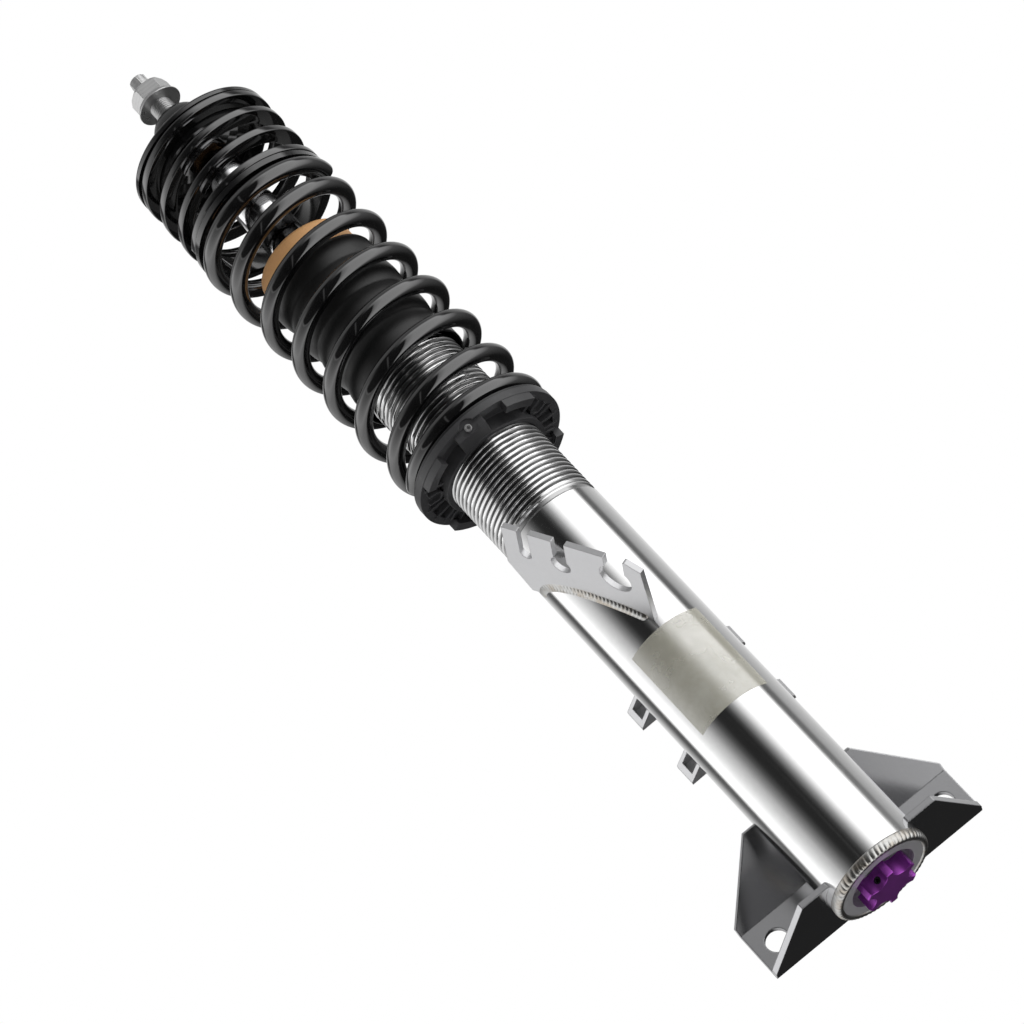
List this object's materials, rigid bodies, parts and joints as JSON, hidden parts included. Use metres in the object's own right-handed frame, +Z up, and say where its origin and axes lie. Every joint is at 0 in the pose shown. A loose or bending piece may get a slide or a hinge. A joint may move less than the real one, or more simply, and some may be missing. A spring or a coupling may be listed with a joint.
{
  "type": "coilover strut",
  "caption": "Front suspension strut with a threaded spring seat, a main and a helper spring, a knuckle bracket and damping adjusters.",
  "frame": {"origin": "Centre of the two knuckle bolt holes, on the bracket face that meets the knuckle", "axes": "+Z up the strut from the bottom cap to the threaded stud, +Y out of the bracket face towards the knuckle, X across the two bolt holes"},
  "size_m": [0.1208, 0.1056, 0.5938],
  "materials": {
    "plated_tube": "fine satin plating, drawn lengthways",
    "plated_sheet": "satin plating on pressed sheet",
    "weld_metal": "rippled bead",
    "machined_steel": "turned",
    "hard_chrome": "ground and polished",
    "zinc_hardware": "bright zinc",
    "black_screw": "black oxide",
    "spring_paint": "gloss powder coat",
    "plate_paint": "satin powder coat",
    "collar_plastic": "moulded, fine grain",
    "ring_plastic": "moulded, smooth",
    "boot_rubber": "smooth satin",
    "stop_foam": "fine closed-cell foam",
    "bumper_rubber": "matt",
    "seal_rubber": "matt",
    "purple_anodised": "satin anodised",
    "cast_alloy": "machined",
    "bronze_lining": "sintered lining",
    "valve_steel": "blued spring steel",
    "slippery_band": "filled fluoropolymer",
    "clear_film": "thin pale film"
  },
  "bodies": {
    "housing": {"strut_tube": "plated_tube", "bottom_cap": "machined_steel", "cap_weld": "weld_metal", "knuckle_bracket": "plated_sheet", "bracket_welds": "weld_metal", "line_bracket": "plated_sheet", "line_bracket_weld": "weld_metal", "guide_clips": "plated_sheet", "tube_film": "clear_film", "inner_cylinder": "machined_steel", "foot_valve": "cast_alloy", "foot_valve_discs": "valve_steel", "rod_guide": "cast_alloy", "guide_bush": "bronze_lining", "oil_seal": "seal_rubber", "rod_wiper": "seal_rubber", "gland_nut": "machined_steel", "gland_oring": "seal_rubber"},
    "compression_adjuster": {"compression_knob": "purple_anodised", "knob_clamp_screw": "black_screw", "compression_needle": "machined_steel"},
    "rod": {"piston_rod": "hard_chrome", "piston": "cast_alloy", "piston_band": "slippery_band", "rebound_discs": "valve_steel", "piston_nut": "zinc_hardware", "stop_ring": "machined_steel", "topout_bumper": "bumper_rubber", "top_plate": "plate_paint", "top_hat": "plate_paint", "bump_stop": "stop_foam", "dust_boot": "boot_rubber"},
    "rebound_adjuster": {"rebound_spindle": "machined_steel"},
    "nut": {"top_nut": "zinc_hardware"},
    "spring_seat": {"seat_ring": "ring_plastic", "main_spring": "spring_paint"},
    "collar": {"adjuster_collar": "collar_plastic"},
    "lock_screw": {"grub_screw": "zinc_hardware"},
    "spacer": {"spring_spacer": "ring_plastic", "helper_spring": "spring_paint"}
  },
  "joints": [
    {"name": "rod_stroke", "type": "slide", "parent": "housing", "child": "rod", "axis": [0, 0, 1], "range_m": [-0.066, 0], "stiffness_N_per_m": 9000, "springref_m": 0.04, "deforming": ["dust_boot"]},
    {"name": "collar_turn", "type": "hinge", "parent": "spring_seat", "child": "collar", "pos_m": [0, -0.0352, 0.271], "axis": [0, 0, 1], "range_deg": [-3606, 6]},
    {"name": "seat_travel", "type": "slide", "parent": "housing", "child": "spring_seat", "axis": [0, 0, 1], "range_m": [-0.03, 0]},
    {"name": "spacer_travel", "type": "slide", "parent": "spring_seat", "child": "spacer", "axis": [0, 0, 1], "range_m": [-0.04802, 0.0005], "deforming": ["main_spring", "helper_spring"]},
    {"name": "top_nut_off", "type": "slide", "parent": "rod", "child": "nut", "axis": [0, 0, 1], "range_m": [0, 0.04]},
    {"name": "rebound_turn", "type": "hinge", "parent": "rod", "child": "rebound_adjuster", "pos_m": [0, -0.0352, 0.5655], "axis": [0, 0, 1], "range_deg": [-180, 180]},
    {"name": "compression_turn", "type": "hinge", "parent": "housing", "child": "compression_adjuster", "pos_m": [0, -0.0352, -0.0225], "axis": [0, 0, 1], "range_deg": [-160, 160]},
    {"name": "lock_screw_turn", "type": "hinge", "parent": "collar", "child": "lock_screw", "pos_m": [-0.0048, -0.07431, 0.2654], "axis": [0.1177, 0.9587, 0.2588], "range_deg": [0, 720]}
  ],
  "couplings": [
    {"joint": "collar_turn", "follows": "seat_travel", "rad_per_m": 2094.4},
    {"joint": "spacer_travel", "follows": "rod_stroke", "ratio": 0.72}
  ]
}
